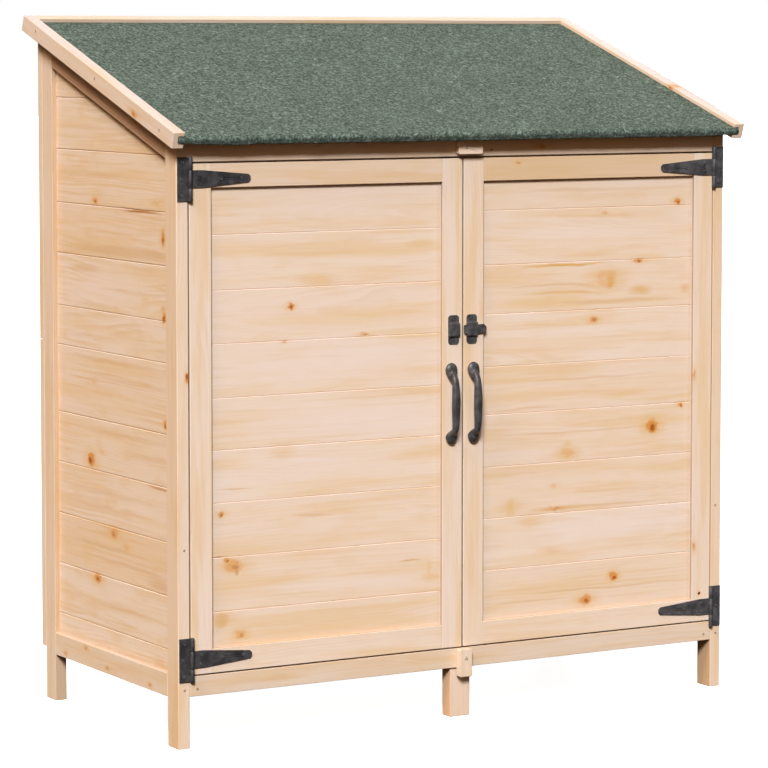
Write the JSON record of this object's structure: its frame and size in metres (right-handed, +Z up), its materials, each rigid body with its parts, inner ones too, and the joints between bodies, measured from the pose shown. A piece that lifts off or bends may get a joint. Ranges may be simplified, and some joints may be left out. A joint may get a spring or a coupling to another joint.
{
  "type": "garden shed",
  "caption": "Small timber garden shed with a felted mono-pitch roof, two framed doors on T-hinges, bow handles, a slide latch and wooden turn buttons.",
  "frame": {"origin": "middle of the footprint box, on the ground", "axes": "+X to the right seen from the front, +Y to the back, +Z up; the doors face -Y"},
  "size_m": [1.0808, 0.562, 1.1484],
  "materials": {
    "pine": "planed softwood, unfinished",
    "deck_board": "raw board",
    "felt": "green mineral granules",
    "black_metal": "black powder coat",
    "bolt_steel": "black, rubbed bright where it slides",
    "zinc": "zinc plated"
  },
  "bodies": {
    "frame": {"back_lower_boards": "pine", "back_lower_stiles": "pine", "back_panel_nails": "zinc", "back_roof_trim": "pine", "back_upper_boards": "pine", "back_upper_stiles": "pine", "bargeboard_nails": "zinc", "centre_front_leg": "pine", "door_stop_strip": "pine", "floor_bearers": "pine", "floor_boards": "pine", "frame_screws": "zinc", "front_bottom_rail": "pine", "front_header": "pine", "front_left_post": "pine", "front_right_post": "pine", "hinge_pins": "black_metal", "hinge_plate_screws": "black_metal", "left_bargeboard": "pine", "left_bottom_hinge_plate": "black_metal", "left_side_boards": "pine", "left_side_bottom_rail": "pine", "left_side_top_rail": "pine", "left_top_hinge_plate": "black_metal", "rear_bottom_rail": "pine", "rear_header": "pine", "rear_left_post": "pine", "rear_right_post": "pine", "right_bargeboard": "pine", "right_bottom_hinge_plate": "black_metal", "right_side_boards": "pine", "right_side_bottom_rail": "pine", "right_side_top_rail": "pine", "right_top_hinge_plate": "black_metal", "roof_deck": "deck_board", "roof_felt": "felt", "turn_button_screws": "zinc"},
    "left_door": {"latch_keeper": "black_metal", "left_bottom_hinge_strap": "black_metal", "left_door_boards": "pine", "left_door_bottom_rail": "pine", "left_door_handle": "black_metal", "left_door_hinge_stile": "pine", "left_door_meeting_stile": "pine", "left_door_screws": "black_metal", "left_door_top_rail": "pine", "left_top_hinge_strap": "black_metal"},
    "right_door": {"latch_bracket": "black_metal", "right_bottom_hinge_strap": "black_metal", "right_door_boards": "pine", "right_door_bottom_rail": "pine", "right_door_handle": "black_metal", "right_door_hinge_stile": "pine", "right_door_meeting_stile": "pine", "right_door_screws": "black_metal", "right_door_top_rail": "pine", "right_top_hinge_strap": "black_metal"},
    "bolt": {"latch_bolt": "bolt_steel"},
    "top_button": {"top_turn_button": "pine"},
    "bottom_button": {"bottom_turn_button": "pine"}
  },
  "joints": [
    {"name": "left_door_swing", "type": "hinge", "parent": "frame", "child": "left_door", "pos_m": [-0.4973, -0.25202, 0.516], "axis": [0, 0, -1], "range_deg": [0, 170]},
    {"name": "right_door_swing", "type": "hinge", "parent": "frame", "child": "right_door", "pos_m": [0.498, -0.25202, 0.516], "axis": [0, 0, 1], "range_deg": [0, 170]},
    {"name": "bolt_slide", "type": "slide", "parent": "right_door", "child": "bolt", "axis": [-1, 0, 0], "range_m": [-0.006, 0.014]},
    {"name": "top_button_turn", "type": "hinge", "parent": "frame", "child": "top_button", "pos_m": [0.001, -0.25402, 0.9348], "axis": [0, 1, 0], "range_deg": [0, 180]},
    {"name": "bottom_button_turn", "type": "hinge", "parent": "frame", "child": "bottom_button", "pos_m": [0.001, -0.25402, 0.0985], "axis": [0, 1, 0], "continuous": true}
  ]
}
